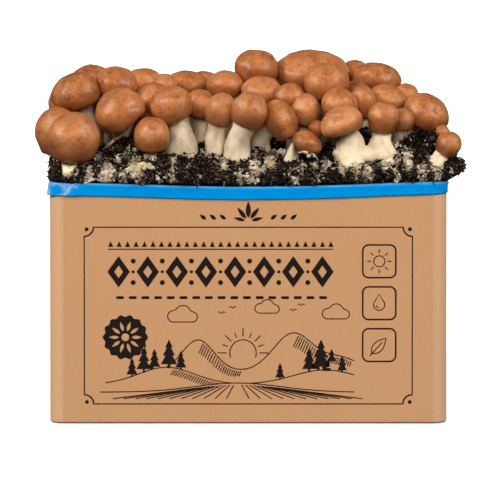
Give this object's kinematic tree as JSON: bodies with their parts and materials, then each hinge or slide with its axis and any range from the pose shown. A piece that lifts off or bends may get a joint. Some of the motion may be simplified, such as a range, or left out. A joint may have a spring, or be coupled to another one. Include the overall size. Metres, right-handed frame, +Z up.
{
  "type": "mushroom grow kit",
  "caption": "Kraft carton with a blue film collar, filled with dark casing soil and topped by a dense clump of brown chestnut mushrooms in every size.",
  "frame": {"origin": "middle of the carton's underside, on the surface it stands on", "axes": "+X along the long front panel to the viewer's right, +Y from the front panel towards the back, +Z up out of the soil"},
  "size_m": [0.3244, 0.2022, 0.2718],
  "materials": {
    "kraft_board": "matte",
    "blue_film": "gloss",
    "casing_soil": "matte",
    "mushroom_skin": "satin"
  },
  "bodies": {
    "root": {"carton": "kraft_board", "liner_collar": "blue_film", "casing_soil": "casing_soil", "mushroom_front_01": "mushroom_skin", "mushroom_front_02": "mushroom_skin", "mushroom_front_03": "mushroom_skin", "mushroom_front_04": "mushroom_skin", "mushroom_front_05": "mushroom_skin", "mushroom_front_06": "mushroom_skin", "mushroom_front_07": "mushroom_skin", "mushroom_front_08": "mushroom_skin", "mushroom_front_09": "mushroom_skin", "mushroom_second_01": "mushroom_skin", "mushroom_second_02": "mushroom_skin", "mushroom_second_03": "mushroom_skin", "mushroom_second_04": "mushroom_skin", "mushroom_second_05": "mushroom_skin", "mushroom_second_06": "mushroom_skin", "mushroom_second_07": "mushroom_skin", "mushroom_second_08": "mushroom_skin", "mushroom_second_09": "mushroom_skin", "mushroom_second_10": "mushroom_skin", "mushroom_second_11": "mushroom_skin", "mushroom_second_12": "mushroom_skin", "mushroom_second_13": "mushroom_skin", "mushroom_middle_01": "mushroom_skin", "mushroom_middle_02": "mushroom_skin", "mushroom_middle_03": "mushroom_skin", "mushroom_middle_04": "mushroom_skin", "mushroom_middle_05": "mushroom_skin", "mushroom_middle_06": "mushroom_skin", "mushroom_middle_07": "mushroom_skin", "mushroom_middle_08": "mushroom_skin", "mushroom_middle_09": "mushroom_skin", "mushroom_middle_10": "mushroom_skin", "mushroom_middle_11": "mushroom_skin", "mushroom_crown_01": "mushroom_skin", "mushroom_crown_02": "mushroom_skin", "mushroom_crown_03": "mushroom_skin", "mushroom_crown_04": "mushroom_skin", "mushroom_crown_05": "mushroom_skin", "mushroom_crown_06": "mushroom_skin", "mushroom_crown_07": "mushroom_skin", "mushroom_crown_08": "mushroom_skin", "mushroom_crown_09": "mushroom_skin", "mushroom_crown_10": "mushroom_skin", "mushroom_rear_01": "mushroom_skin", "mushroom_rear_02": "mushroom_skin", "mushroom_rear_03": "mushroom_skin", "mushroom_rear_04": "mushroom_skin", "mushroom_rear_05": "mushroom_skin", "mushroom_rear_06": "mushroom_skin", "mushroom_rear_07": "mushroom_skin", "mushroom_rear_08": "mushroom_skin", "mushroom_rear_09": "mushroom_skin", "mushroom_rear_10": "mushroom_skin", "mushroom_rear_11": "mushroom_skin", "mushroom_rear_12": "mushroom_skin", "mushroom_rear_13": "mushroom_skin"}
  },
  "joints": []
}
